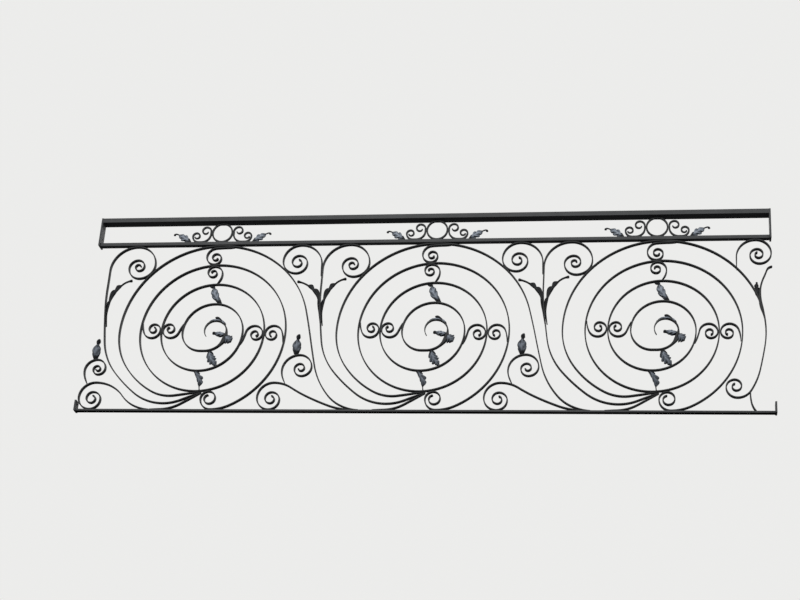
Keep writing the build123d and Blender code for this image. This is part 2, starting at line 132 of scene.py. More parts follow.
def through(start, *knots):
    # two tangent arcs with equal tangent lengths from each knot to the next
    steps = []
    for x, z, heading in knots:
        state = follow(start, steps)
        a, b = radians(state[2]), radians(heading)
        vx, vz = x - state[0], z - state[1]
        tx, tz = cos(a) + cos(b), sin(a) + sin(b)
        k = 2 * (1 - cos(a - b))
        dot, size = vx * tx + vz * tz, vx * vx + vz * vz
        d = size / (2 * dot) if k < 1e-6 else (sqrt(dot * dot + k * size) - dot) / k
        mx = (state[0] + x + d * (cos(a) - cos(b))) / 2
        mz = (state[1] + z + d * (sin(a) - sin(b))) / 2
        first = arcTo(state, mx, mz)
        steps = steps + first + arcTo(follow(state, first), x, z)
    return steps


def curl(radius, ratio, quarters, hand):
    return [step for n in range(quarters) for step in bend(radius * ratio**n, 90 * hand)]


def wind(radius, step, quarters, hand):
    return [one for n in range(quarters) for one in bend(radius * (1 - step * n), 90 * hand)]


def settle(gap, small, large, halvings=50):
    # halves the interval until the gap closes
    for n in range(halvings):
        middle = (small + large) / 2
        if (gap(middle) > 0) == (gap(small) > 0):
            small = middle
        else:
            large = middle
    return middle


def before(state, radius, turn):
    # where an arc of this radius and turn starts, if it is to end in the given state
    x, z, heading = follow((state[0], state[1], state[2] + 180), bend(radius, -turn))
    return (x, z, heading - 180)


def onRing(cx, radius, angle, hand):
    # a point of a ring of the spiral and the heading along it
    a = radians(angle)
    return (cx + radius * cos(a), radius * sin(a), angle + 90 * hand)


def along(start, steps, s):
    # point and heading at every length s at once: on each arc
    # x = x0 + (sin b - sin a) / k and z = z0 - (cos b - cos a) / k with b = a + k d
    states = [start]
    for step in steps:
        states.append(move(states[-1], *step))
    begins = np.array(states)
    lengths = np.array([length for length, curvature in steps])
    bends = np.array([curvature for length, curvature in steps])
    marks = np.concatenate([[0.0], np.cumsum(lengths)])
    i = np.clip(np.searchsorted(marks, s, side="right") - 1, 0, len(steps) - 1)
    d = s - marks[i]
    a, k = np.radians(begins[i, 2]), bends[i]
    b = a + d * k
    flat = np.abs(k) < 1e-9
    safe = np.where(flat, 1.0, k)
    x = begins[i, 0] + np.where(flat, d * np.cos(a), (np.sin(b) - np.sin(a)) / safe)
    z = begins[i, 1] + np.where(flat, d * np.sin(a), -(np.cos(b) - np.cos(a)) / safe)
    return x, z, b


def lengthOf(steps):
    return sum(length for length, curvature in steps)


def stations(steps, gap, turn):
    # lengths at which a bar is cut into rings: even on each arc, close where it is tight
    runs, s = [], 0.0
    for length, curvature in steps:
        count = int(max(2, np.ceil(length / gap), np.ceil(abs(degrees(length * curvature)) / turn)))
        runs.append(s + np.linspace(0, length, count, endpoint=False))
        s += length
    return np.concatenate(runs + [[s]])


def tube(sections, wear):
    # a closed skin from rings of points (n, m, 3): its first and last rings shrink to poles
    n, m = sections.shape[:2]
    inner = sections[1:-1].reshape(-1, 3)
    poles = np.stack([sections[0].mean(0), sections[-1].mean(0)])
    verts = np.concatenate([inner, poles])
    values = np.concatenate([wear[1:-1].reshape(-1), [wear[0].mean(), wear[-1].mean()]])
    i, j = np.meshgrid(np.arange(n - 3), np.arange(m), indexing="ij")
    k = (j + 1) % m
    quads = np.stack([i * m + j, i * m + k, (i + 1) * m + k, (i + 1) * m + j], -1).reshape(-1, 4)
    j = np.arange(m)
    k = (j + 1) % m
    first, last = (n - 2) * m, (n - 2) * m + 1
    tops = np.concatenate([
        np.stack([k, j, np.full(m, first)], -1),
        np.stack([(n - 3) * m + j, (n - 3) * m + k, np.full(m, last)], -1),
    ])
    return verts, quads, tops, values


def makePiece(name, skins, node):
    # joins closed skins into one mesh in metres that stands for a node and rides the body
    verts, quads, tops, values, base = [], [], [], [], 0
    for v, q, t, w in skins:
        verts.append(v)
        quads.append(q + base)
        tops.append(t + base)
        values.append(w)
        base += len(v)
    verts, quads, tops = np.concatenate(verts) * 0.001, np.concatenate(quads), np.concatenate(tops)
    values = np.concatenate(values)
    mesh = bpy.data.meshes.new(name)
    mesh.vertices.add(len(verts))
    mesh.vertices.foreach_set("co", verts.astype(np.float32).ravel())
    loops = np.concatenate([quads.ravel(), tops.ravel()]).astype(np.int32)
    counts = np.concatenate([np.full(len(quads), 4), np.full(len(tops), 3)]).astype(np.int32)
    mesh.loops.add(len(loops))
    mesh.loops.foreach_set("vertex_index", loops)
    mesh.polygons.add(len(counts))
    mesh.polygons.foreach_set("loop_start", (np.cumsum(counts) - counts).astype(np.int32))
    mesh.polygons.foreach_set("loop_total", counts)
    mesh.polygons.foreach_set("use_smooth", np.ones(len(counts), bool))
    mesh.update(calc_edges=True)
    attribute = mesh.attributes.new("wear", "FLOAT", "POINT")
    attribute.data.foreach_set("value", values.astype(np.float32))
    mesh.validate()
    piece = bpy.data.objects.new(name, mesh)
    bpy.context.scene.collection.objects.link(piece)
    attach(piece, "root")
    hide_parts(node)


def roundedSection(steps=3):
    # the four corners of a bar's section: their sides, the quarter circles on them, and how
    # near each point is to the middle of its corner
    angles = np.linspace(0, np.pi / 2, steps + 1)
    turned = np.concatenate([angles + quarter * np.pi / 2 for quarter in range(4)])
    circle = np.stack([np.cos(turned), np.sin(turned)], -1)
    sides = np.repeat(np.array([[1, 1], [-1, 1], [-1, -1], [1, -1]]), steps + 1, axis=0)
    near = np.tile(1 - np.abs(angles / (np.pi / 4) - 1) ** 2 * 0.6, 4)
    return sides, circle, near


# How a bar is forged, in millimetres and in shares of its section
forge = {
    "turn": 9.0,                            # degrees of bend from one section to the next
    "ends": (0.0, 0.25, 0.8, 1.8, 3.2),     # sections that close an end
    "clear": 4.0,                           # no other section stands nearer to an end
    "cap": 3.2,                             # length in which an end rounds off
    "capDepth": 0.6,                        # share of the depth that the face of an end keeps
    "drawn": 0.9,                           # a tip under this share is drawn down in depth too
    "drawnDepth": 0.55,                     # share of the depth that such a tip keeps
    "roundShare": 2.2,                      # corner radii that the thickness always has room for
    "blob": 0.3,                            # swelling at the tip of an eye, its place and spread
    "blobPlace": 5.0,
    "blobSpread": 6.0,
}


def forgedBar(route, width=None, deep=None, first=None, last=None, lead=60.0, tail=80.0,
              blob=0.0, gap=7.0, shallow=0.0, bare=0.0, belly=None):
    # a point is route(s) + normal * across + Y * out, where (across, out) is the flat bar's
    # section with round corners; width and depth thin towards a drawn-down end, and the caps
    # close in a quarter circle. A belly is a swelling on the way: (place, gain, spread). Over
    # its last bare millimetres the bar is rubbed, and its wear goes from 1 to 2.
    start, steps = route
    width, deep = width or bar, deep or board["deep"]
    first, last = first or width, last or width
    total = lengthOf(steps)
    lead, tail = min(lead, total / 2), min(tail, total / 2)
    s = stations(steps, gap, forge["turn"])
    s = s[(s > forge["clear"]) & (s < total - forge["clear"])]
    ends = np.array(forge["ends"])
    s = np.unique(np.concatenate([s, ends, total - ends]))
    x, z, heading = along(start, steps, s)
    thick = width + (first - width) * np.clip(1 - s / lead, 0, 1)
    thick = thick + (last - width) * np.clip(1 - (total - s) / tail, 0, 1)
    depth = np.full(len(s), deep - shallow)
    drawn = np.clip(np.minimum(s / lead, (total - s) / tail) * 1.3, 0, 1) ** 0.7
    drawn = forge["drawnDepth"] + (1 - forge["drawnDepth"]) * drawn
    depth = np.where((s < total / 2) & (first < width * forge["drawn"]), depth * drawn, depth)
    depth = np.where((s > total / 2) & (last < width * forge["drawn"]), depth * drawn, depth)
    swell = 1 + blob * np.exp(-((total - s - forge["blobPlace"]) / forge["blobSpread"]) ** 2)
    if belly:
        place, gain, spread = belly
        swell = swell + gain * np.exp(-((s - place) / spread) ** 2)
    thick = thick * swell
    cap = np.minimum(np.clip(s / forge["cap"], 0, 1), np.clip((total - s) / forge["cap"], 0, 1))
    cap = np.sqrt(1 - (1 - cap) ** 2)
    sides, circle, near = roundedSection()
    corner = np.minimum(board["round"], thick / forge["roundShare"])[:, None]
    across = sides[None, :, 0] * (thick[:, None] / 2 - corner) + corner * circle[None, :, 0]
    across = across * cap[:, None]
    out = sides[None, :, 1] * (depth[:, None] / 2 - corner) + corner * circle[None, :, 1]
    out = out * (forge["capDepth"] + (1 - forge["capDepth"]) * cap[:, None])
    points = np.stack([
        x[:, None] - np.sin(heading)[:, None] * across,
        -out,
        z[:, None] + np.cos(heading)[:, None] * across,
    ], -1)
    rubbed = 1 + np.clip((s - total + bare) / (0.3 * bare + 1), 0, 1)
    rubbed = np.where(s > total - bare, rubbed, 0.0)[:, None]
    return tube(points, np.maximum(np.tile(near, (len(s), 1)), rubbed))


def scrollBar(route, **changes):
    # a bar that starts as a scarf on its neighbour and ends in the eye of a scroll
    return forgedBar(route, first=board["scarf"], last=board["eye"], blob=forge["blob"], **changes)


def moved(skin, x, z):
    verts, quads, tops, values = skin
    return verts + np.array([x, 0.0, z]), quads, tops, values


def mirrored(skin, middle):
    # turned over in x about the middle, with the faces turned round to point outwards again
    verts, quads, tops, values = skin
    flipped = verts.copy()
    flipped[:, 0] = 2 * middle - flipped[:, 0]
    return flipped, quads[:, ::-1], tops[:, ::-1], values


# The camera comes first, because the other pieces are judged through it
view = {
    "place": (2.7768, -7.1589, -3.8098),
    "turn": (115.3697, -3.5576, 8.3920),
    "lens": 77.463,
}
cameraData = bpy.data.cameras.new("camera")
cameraData.lens = view["lens"]
cameraData.sensor_width = 36.0
camera = bpy.data.objects.new("camera", cameraData)
camera.location = view["place"]
camera.rotation_euler = [radians(a) for a in view["turn"]]
bpy.context.scene.collection.objects.link(camera)
bpy.context.scene.camera = camera
print("camera set")

# Places and radii, all in rings
half = rings(0.5)
voluteRadius = rings(1.4175)
innerRadius, outerRadius, archRadius = (voluteRadius + rings(n) for n in (1, 2, 3))
bayPitch = 2 * archRadius + rings(1.359)
leftRun, rightRun = archRadius + rings(1.602), archRadius + rings(0.359)
stemOffset = archRadius + rings(0.893)
centreZ = crownZ - bar / 2 - archRadius
low = bottomZ + bar / 2 - centreZ
high = archRadius
bays = [leftRun + n * bayPitch for n in range(3)]
upper, lower = 0.0, -half


def inBays(skins, which=(0, 1, 2)):
    return [moved(skin, bays[n], centreZ) for n in which for skin in skins]


# The main spiral, which leaves the bay along the bottom rail
spiral = {
    "sweep": rings(4.0), "tail": rings(1.971), "tailRatio": 0.72, "tailStep": 0.12, "tailQuarters": 5,
}
inward = bend(outerRadius, 180) + bend(outerRadius - half, 180)
inward = inward + bend(innerRadius, 180) + bend(innerRadius - half, 180)
drop = asin((-low - spiral["tail"]) / (spiral["sweep"] - spiral["tail"]))
outward = bend(spiral["sweep"], -degrees(drop)) + bend(spiral["tail"], degrees(drop) - 90)
tailFoot = follow((outerRadius, 0.0, -90.0), outward)


def tailGap(radius):
    second = radius * spiral["tailRatio"]
    reach = hypot(tailFoot[0] - radius + second - lower, low + radius)
    return reach - second - (outerRadius - half) - board["tailSeat"]


tailTurn = settle(tailGap, bar, 2 * pitch)
outward = outward + bend(tailTurn, -90)
outward = outward + wind(tailTurn * spiral["tailRatio"], spiral["tailStep"], spiral["tailQuarters"], -1)
start, steps = reverse((outerRadius, 0.0, -90.0), outward)
spiralRoute = (start, steps + inward)
makePiece("spiralBars", inBays([forgedBar(spiralRoute, first=board["eye"])]), "main_spirals")

# The volute in its middle, which laps the end of the spiral and swells at the eye
volute = {
    "lowerRadius": rings(0.932), "drift": rings(0.204), "lowerGrowth": 1.01,
    "eyeRadius": rings(0.563), "eyeRatio": 0.86, "tendrilTurn": 128, "lap": 7.0,
    "tendril": rings(1.7), "bare": rings(1.1), "bellyBack": rings(0.3), "belly": (2.2, rings(0.27)),
}
voluteStart = (voluteRadius, 0.0, 90.0)
voluteSteps = bend(voluteRadius, 180) + bend(volute["lowerRadius"], 90) + straight(volute["drift"])
voluteSteps = voluteSteps + bend(volute["lowerRadius"] * volute["lowerGrowth"], 90)
voluteSteps = voluteSteps + bend(volute["eyeRadius"], 90)
voluteSteps = voluteSteps + bend(volute["eyeRadius"] * volute["eyeRatio"], volute["tendrilTurn"])
eyeSteps = voluteSteps[:4]      # up to the right side of the eye
voluteRoute = ((voluteRadius, -volute["lap"], 90.0), straight(volute["lap"]) + voluteSteps)
voluteSkin = forgedBar(voluteRoute, last=board["tendril"], tail=volute["tendril"], gap=5.0, shallow=0.3,
                       bare=volute["bare"],
                       belly=(lengthOf(eyeSteps) - volute["bellyBack"], *volute["belly"]))
makePiece("voluteBars", inBays([voluteSkin]), "centre_volutes")
print("spirals made")

# The feet of arches, risers and stems meet in a bundle under the spiral
bundleX = rings(-0.184)
bundleZ = -sqrt((outerRadius - half) ** 2 - (bundleX - lower) ** 2)

# Arches. A knot is (x, z, heading).
arch = {
    "leave": 14.0,          # degrees above its right side, where the foot parts from the circle
    "leftKnots": [(-archRadius + rings(1.864), bundleZ - bar / 4, -29), (bundleX, bundleZ - bar * 0.8, 8)],
    "rightKnots": [(archRadius + rings(0.476), rings(-1.65), -77), (bayPitch - rings(3.136), low, 0)],
    "lastKnots": [(archRadius - rings(0.709), rings(-2.864), -122)],
    "lastTurn": 10,         # degrees that the last arch goes round beyond its right side
    "curl": rings(0.68), "curlTurn": -58, "curlDrop": 0.69, "curlRatio": 0.78, "quarters": 6,
    "lead": 90, "shallow": 0.3,
}
leftFootStart = (-archRadius, 0.0, -90.0)
archStart, footSteps = reverse(leftFootStart, through(leftFootStart, *arch["leftKnots"]))
archCommon = footSteps + bend(archRadius, arch["leave"] - 180)
rightFoot = through(follow(archStart, archCommon), *arch["rightKnots"])
lastCommon = archCommon + bend(archRadius, -arch["leave"] - arch["lastTurn"])
lastFoot = through(follow(archStart, lastCommon), *arch["lastKnots"]) + bend(arch["curl"], arch["curlTurn"])
lastFoot = lastFoot + curl(arch["curl"] * arch["curlDrop"], arch["curlRatio"], arch["quarters"], -1)
archSkin = forgedBar((archStart, archCommon + rightFoot), first=board["scarf"], last=board["scarf"],
                     lead=arch["lead"], shallow=arch["shallow"])
lastArch = scrollBar((archStart, lastCommon + lastFoot), lead=arch["lead"], shallow=arch["shallow"])
makePiece("archBars", inBays([archSkin], (0, 1)) + inBays([lastArch], (2,)), "outer_arches")

riser = {
    "footX": rings(-2.544), "flat": rings(0.485), "tip": (bundleX, bundleZ - bar * 2, 28), "shallow": 0.9,
}
riserStart = (riser["footX"], low, 0.0)
riserFlat = straight(riser["flat"])
riserSteps = riserFlat + through(follow(riserStart, riserFlat), riser["tip"])
riserSkin = forgedBar((riserStart, riserSteps), first=board["scarf"], last=board["scarf"],
                      shallow=riser["shallow"])
makePiece("riserBars", inBays([riserSkin]), "risers")

# The tall scroll between two bays, and its smaller mate on the other side of it
stem = {
    "ratio": 0.76, "quarters": 10, "shallow": 0.6, "start": (bundleX, bundleZ - bar * 1.4, 200.0),
    "knots": [(rings(-2.0), rings(-3.505), 178), (rings(-4.388), rings(-1.99), 130),
              (-stemOffset + bar / 2, rings(1.3), 95)],
}
mate = {"ratio": 0.79, "quarters": 9, "shallow": 0.9, "lap": rings(0.583)}


def stemGap(radius):
    second, third = radius * stem["ratio"], radius * stem["ratio"]**2
    x = -stemOffset + radius + second - third
    return hypot(x, high - second) - third - archRadius - bar - board["seat"]


def mateGap(radius):
    second, third = radius * mate["ratio"], radius * mate["ratio"]**2
    x = bayPitch - stemOffset - bar - radius - second + third
    return hypot(x, high - second) - third - archRadius - bar - board["seat"]


stemCurl, mateCurl = settle(stemGap, bar, 3 * pitch), settle(mateGap, bar, 2 * pitch)
stemSteps = through(stem["start"], *stem["knots"], (-stemOffset, high - stemCurl, 90))
stemSteps = stemSteps + curl(stemCurl, stem["ratio"], stem["quarters"], -1)
stemSkin = scrollBar((stem["start"], stemSteps), shallow=stem["shallow"])
makePiece("stemBars", inBays([stemSkin]), "stem_scrolls")
mateStart = (-stemOffset - bar, high - mateCurl - mate["lap"], 90.0)
mateSteps = straight(mate["lap"]) + curl(mateCurl, mate["ratio"], mate["quarters"], 1)
mateSkin = scrollBar((mateStart, mateSteps), shallow=mate["shallow"])
makePiece("mateBars", inBays([mateSkin], (1, 2)), "mate_scrolls")
print("arches and stems made")

# Small scrolls between two rings: each leaves one ring along its face, turns over and
# touches the next ring where its first quarter turn ends
fillers = {
    "radius": rings(0.385), "ratio": 0.78, "quarters": 6, "tilt": 5.6, "lead": 30.0, "shallow": 0.6,
    "rightTouch": rings(-0.08), "leftTouch": rings(0.1), "crownTouch": 94.5,
}
besideRing = bar + board["seat"]
tailReach = (bar + board["scarf"]) / 2 + board["seat"]


def filler(tip, touch, hand):
    shoulder = before(touch, fillers["radius"], 90 * hand)
    turns = curl(fillers["radius"], fillers["ratio"], fillers["quarters"], hand)
    return scrollBar((tip, through(tip, shoulder) + turns), lead=fillers["lead"], gap=5.0,
                     shallow=fillers["shallow"])


def tailTip(cx, radius, side, angle):
    # on the face of a ring, outside or inside it, and tilted away from it by the scarf
    x, z, heading = onRing(cx, radius + side * tailReach, angle, 1)
    return (x, z, heading - side * fillers["tilt"])


outside, inside = innerRadius + besideRing, innerRadius - besideRing
sideSkins = [
    filler(tailTip(lower, outerRadius + half, -1, -8), (outside, fillers["rightTouch"], -90), 1),
    filler(tailTip(lower, voluteRadius + half, 1, -19), (inside, fillers["rightTouch"], -90), -1),
    filler(tailTip(upper, outerRadius, -1, 172), (-outside, fillers["leftTouch"], 90), 1),
    filler(tailTip(upper, voluteRadius, 1, 163), (-inside, fillers["leftTouch"], 90), -1),
]
lowerTip = (rings(-0.078), innerRadius, 48.0)
crownTop = onRing(upper, outerRadius + besideRing, fillers["crownTouch"], -1)
crownFoot = onRing(upper, outerRadius - besideRing, fillers["crownTouch"], 1)
crownSkins = [filler(tailTip(upper, archRadius, -1, 82), crownTop, 1), filler(lowerTip, crownFoot, 1)]
makePiece("sideCurls", inBays(sideSkins), "side_scrolls")
makePiece("crownCurls", inBays(crownSkins), "crown_scrolls")

# Base scrolls on the bottom rail: the first bay's own stands beside the left wall
base = {
    "radius": rings(0.718), "ratio": 0.8, "quarters": 8, "shallow": 0.6, "topX": rings(3.126),
    "tailX": bayPitch - rings(3.447), "shoulder": (rings(4.67), rings(-3.165), 154),
}
baseTopZ = low + base["radius"] * (1 + base["ratio"])
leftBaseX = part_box("bottom_rail")[0].x * 1000 - leftRun + base["radius"] + bar / 2 + board["seat"]


def baseSkin(topX, tailX, *shoulder):
    tip = (tailX, low, 180.0)
    steps = through(tip, *shoulder, (topX, baseTopZ, 180))
    return scrollBar((tip, steps + curl(base["radius"], base["ratio"], base["quarters"], 1)),
                     shallow=base["shallow"])


innerBase = baseSkin(base["topX"], base["tailX"], base["shoulder"])
leftBase = baseSkin(leftBaseX, riserStart[0])
makePiece("baseCurls", inBays([leftBase], (0,)) + inBays([innerBase], (0, 1)), "base_scrolls")

# Bud scrolls, which rise from the base scrolls
bud = {
    "radii": (rings(0.767), rings(0.553)), "roots": (rings(0.524), rings(-0.408)),
    "sunk": rings(0.1), "slope": 118.0, "kneeX": rings(0.223), "kneeZ": rings(0.583),
    "ratio": 0.76, "quarters": 8, "lead": 30, "shallow": 0.9,
}


def budRoute(rootX, radius):
    begin = (rootX, baseTopZ - bud["sunk"], bud["slope"])
    rise = through(begin, (rootX - bud["kneeX"], baseTopZ + bud["kneeZ"], 90))
    return (begin, rise + curl(radius, bud["ratio"], bud["quarters"], -1))


budRoutes = [budRoute(topX + root, radius)
             for topX, root, radius in zip((base["topX"], leftBaseX), bud["roots"], bud["radii"])]
innerBud, leftBud = (scrollBar(route, lead=bud["lead"], shallow=bud["shallow"]) for route in budRoutes)
makePiece("budCurls", inBays([leftBud], (0,)) + inBays([innerBud], (0, 1)), "bud_scrolls")

# The pieces beside the right wall
wallEnd = {
    "curl": rings(0.854), "ratio": 0.78, "quarters": 9, "rise": rings(0.64), "reach": 1.78,
    "leafBar": [(archRadius - rings(0.039), rings(0.524), 96.0),
                (archRadius - rings(0.214), rings(1.534), 92),
                (archRadius - rings(0.029), rings(2.544), 66), (rightRun, rings(3.068), 0)],
    "belly": (rings(0.7), 1.3, rings(0.75)),
    "brace": [(archRadius - rings(0.738), rings(-2.922), -92.0),
              (archRadius - rings(0.505), low - bar / 2, -50)],
    "shallow": 0.6,
}
endStart = (rightRun - bar / 2 - board["seat"] - wallEnd["curl"] * wallEnd["reach"],
            high - wallEnd["curl"] - wallEnd["rise"], 90.0)
endSteps = straight(wallEnd["rise"]) + curl(wallEnd["curl"], wallEnd["ratio"], wallEnd["quarters"], -1)
endSkin = scrollBar((endStart, endSteps), shallow=wallEnd["shallow"])
makePiece("endCurl", inBays([endSkin], (2,)), "end_scroll")
leafBarSteps = through(*wallEnd["leafBar"])
endBarSkin = forgedBar((wallEnd["leafBar"][0], leafBarSteps), first=board["scarf"],
                       shallow=wallEnd["shallow"], belly=wallEnd["belly"])
makePiece("endLeafBar", inBays([endBarSkin], (2,)), "end_leaf_bar")
braceSkin = forgedBar((wallEnd["brace"][0], through(*wallEnd["brace"])), shallow=wallEnd["shallow"])
makePiece("endBrace", inBays([braceSkin], (2,)), "end_brace")
print("small scrolls made")


# Rails
rail = {"friezeCorner": 1.6, "bottomCorner": 1.4, "fromEnd": 40, "sections": 80}


def railSkin(node, corner):
    # a flat bar with soft corners, its section carried along X from one end to the other
    a, b = (np.array(corner3) * 1000 for corner3 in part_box(node))
    middle, halves = (a + b) / 2, (b - a) / 2
    sides, circle, near = roundedSection()
    profile = sides * (halves[1:] - corner) + circle * corner
    between = np.linspace(a[0] + rail["fromEnd"], b[0] - rail["fromEnd"], rail["sections"])
    x = np.concatenate([[a[0], a[0], a[0] + corner * 0.3, a[0] + corner], between,
                        [b[0] - corner, b[0] - corner * 0.3, b[0], b[0]]])
    cap = np.ones(len(x))
    cap[[0, -1]] = 0.0
    cap[[1, -2]] = 1 - corner / halves.max()
    points = np.stack([
        np.repeat(x[:, None], len(profile), 1),
        middle[1] + profile[None, :, 0] * cap[:, None],
        middle[2] + profile[None, :, 1] * cap[:, None],
    ], -1)
    return tube(points, np.tile(near, (len(x), 1)))


makePiece("friezeRail", [railSkin("frieze_rail", rail["friezeCorner"])], "frieze_rail")
makePiece("bottomRail", [railSkin("bottom_rail", rail["bottomCorner"])], "bottom_rail")
print("rails made")


# Leaves
def forgedLeaf(look):
    # t runs from root to tip and v from the right edge, -1, to the left edge, 1. A stalk
    # thins from root to tip; beside it stands a blade that follows sin(pi * grown ** peak) ** 0.8
    # with grown = t / share, swells once in each lobe, and leans to the tip with |v|. The front
    # is domed, with a midrib and veins that run out to the lobes; the back lies behind it, so
    # section and ends are closed. Past its share the leaf is a tendril with a knob at its tip.
    total = lengthOf(look["steps"])
    n, m = look["rows"], 15
    t = 0.3 * (0.5 - 0.5 * np.cos(np.linspace(0, np.pi, n))) + 0.7 * np.linspace(0, 1, n)
    front = np.sin(np.linspace(-np.pi / 2, np.pi / 2, m))
    v = np.concatenate([front, front[-2:0:-1]])
    onFront = np.concatenate([np.ones(m), np.zeros(m - 2)])[None, :]
    reach = np.abs(v)[None, :]
    grown = np.clip(t / look["share"], 0, 1)
    stalk = look["root"] + (look["tip"] - look["root"]) * grown
    knob = 1 + look["knob"] * np.exp(-((1 - t) * total / look["tip"] - 0.7) ** 2 / 0.8)
    hump = np.sin(np.pi * grown ** look["peak"]) ** 0.8
    phase = (look["lobes"] * grown)[:, None] + look["shift"] * (v[None, :] > 0) * hump[:, None]
    lobe = np.abs(np.sin(np.pi * (phase % 1.0) ** 1.4)) ** 0.55
    swell = look["notch"] + (1 - look["notch"]) * lobe
    sides = np.where(v > 0, look["left"], look["right"])[None, :]
    blade = np.clip(sides * look["width"] - stalk[:, None], 0, None)
    wide = (stalk * knob)[:, None] / 2 + blade / 2 * swell * hump[:, None]
    s = total * (t[:, None] + look["lean"] * hump[:, None] * reach ** 1.6 * (1 - t)[:, None])
    x, z, heading = along(look["start"], look["steps"], s)
    across = wide * v[None, :]
    midrib = np.exp(-(v / 0.16) ** 2)[None, :]
    ribs = np.cos(np.pi * 2 * (phase - 0.62 * reach)) * reach * (1 - reach) * 4
    relief = hump[:, None] * (look["rib"] * midrib + look["vein"] * ribs)
    dome = (stalk * knob * 0.42)[:, None] + look["crown"] * hump[:, None]
    throw = look["throw"] * np.sin(np.pi * np.clip(t, 0, 1)) ** 1.2
    face = throw[:, None] + dome * (1 - reach ** 2) + relief
    thick = (look["sheet"] + stalk * knob * 0.42)[:, None] * np.sqrt(np.clip(1 - reach ** 2, 0, 1))
    deep = np.where(onFront > 0, face, throw[:, None] + dome * (1 - reach ** 2) * 0.25 - thick)
    cap = np.sqrt(1 - (1 - np.clip(np.minimum(t, 1 - t) * total / 2.5, 0, 1)) ** 2)[:, None]
    middle = face.mean(1)[:, None] - look["sheet"] / 2
    y = -(middle + (deep - middle) * cap)
    points = np.stack([x - np.sin(heading) * across * cap, y, z + np.cos(heading) * across * cap], -1)
    # lightness for the leaf's paint: rubbing on the midrib and ribs, and painted shade that falls to nothing
    # at the root and the tendril tip, where the leaf curls under; the very edges go dark too
    shine = hump[:, None] ** 0.4 * (0.5 + 0.22 * midrib * onFront + 0.26 * np.clip(ribs, -1, 1) * onFront)
    wear = look["tone"] * np.clip(shine * (1 - reach ** 8), 0, 1.2) * np.clip((t - 0.1) / 0.1, 0, 1)[:, None]
    return tube(points[:, ::-1], wear[:, ::-1])


def leafAlong(begin, knots, hook, look, **changes):
    # a leaf on a route through the knots, with a hooked tip: (radius, turn)
    route = through(begin, *knots)
    for radius, turn in hook:
        route = route + bend(radius, turn)
    return dict(look, start=begin, steps=route, **changes)


leafLook = {
    "width": 38.0, "root": 8.0, "tip": 5.0, "share": 0.8, "peak": 1.0, "lobes": 3.0, "notch": 0.5,
    "left": 1.0, "right": 1.0, "shift": 0.3, "lean": 0.1, "crown": 5.5, "throw": 3.0, "rib": 1.4,
    "vein": 1.5, "sheet": 3.0, "knob": 0.9, "rows": 96, "tone": 1.0,
}
eyeRight = follow(voluteStart, eyeSteps)
eyeX, eyeFace = eyeRight[0] - volute["eyeRadius"], volute["eyeRadius"] + bar / 2
spiralLeaves = [
    # over the volute, its tip hooked under the ring above
    leafAlong((rings(0.233), voluteRadius, 125),
              [(rings(-0.1), rings(1.95), 106), (rings(-0.175), rings(2.24), 98)],
              [(rings(0.08), 150)], leafLook, width=rings(0.38), root=rings(0.15), tip=rings(0.11),
              peak=1.4, notch=0.65, knob=0.5),
    # under the volute
    leafAlong((rings(-0.02), -volute["lowerRadius"], -84),
              [(rings(0.06), rings(-1.28), -66), (rings(0.37), rings(-1.7), -50)],
              [], leafLook, width=rings(0.46), root=rings(0.2), share=0.95, peak=0.8, lobes=4.0,
              notch=0.35, lean=0.24, shift=0.5, vein=2.4, tone=0.8),
    # under the ring, down to the bundle
    leafAlong((rings(-0.67), rings(-1.88), -45),
              [(rings(-0.41), rings(-2.31), -66), (rings(-0.3), rings(-2.92), -82)],
              [], leafLook, width=rings(0.36), root=rings(0.12), left=1.3, right=0.5, lean=0.18, tone=0.6),
    # out to the right of the eye
    leafAlong((rings(0.6), rings(-0.26), -22), [(rings(0.92), rings(-0.5), -42)],
              [], leafLook, width=rings(0.52), root=rings(0.26), share=0.95, lobes=3.0, notch=0.4,
              lean=0.26, tone=0.8),
    # inwards from the eye, closed like a bud
    leafAlong((eyeRight[0], rings(-0.13), 188), [(0.0, rings(-0.03), 165)],
              [], leafLook, width=rings(0.29), root=rings(0.12), tip=rings(0.1), crown=7.0,
              notch=0.7, knob=0.6),
    # back over the eye, its tip flicked up
    leafAlong(onRing(eyeX, eyeFace, 36, 1),
              [(rings(0.34), rings(0.58), 132), (rings(0.14), rings(0.71), 172)],
              [(rings(0.08), 55)], leafLook, width=rings(0.16), root=rings(0.07), tip=rings(0.11),
              share=0.45, crown=3.0, knob=0.4),
    # along the top of the eye
    dict(leafLook, start=onRing(eyeX, eyeFace, 48, 1), steps=bend(eyeFace, 84), width=rings(0.15),
         root=5.0, tip=3.0, share=0.92, lobes=2.0, notch=0.8, crown=6.0),
]
makePiece("spiralLeaves", inBays([forgedLeaf(leaf) for leaf in spiralLeaves]), "spiral_leaves")

budLook = dict(leafLook, width=rings(0.43), root=17.0, tip=12.0, share=0.74, lobes=2.0, notch=0.8,
               crown=9.0, throw=0.0, knob=0.9, sheet=7.0, tone=0.65)
budStand = {"turn": -76, "lift": 4.0, "lean": 3, "height": rings(0.9), "slope": 82, "hook": (10.0, -80)}
buds = []
for (begin, route), radius in zip(budRoutes, bud["radii"]):
    # each stands where the first turn of its scroll is nearly at the top
    top = follow(begin, route[:2] + bend(radius, budStand["turn"]))
    foot = (top[0], top[1] + budStand["lift"], 90.0)
    tip = (top[0] + budStand["lean"], top[1] + budStand["height"], budStand["slope"])
    buds.append(forgedLeaf(leafAlong(foot, [tip], [budStand["hook"]], budLook)))
makePiece("budLeaves", inBays(buds[1:], (0,)) + inBays(buds[:1], (0, 1)), "buds")

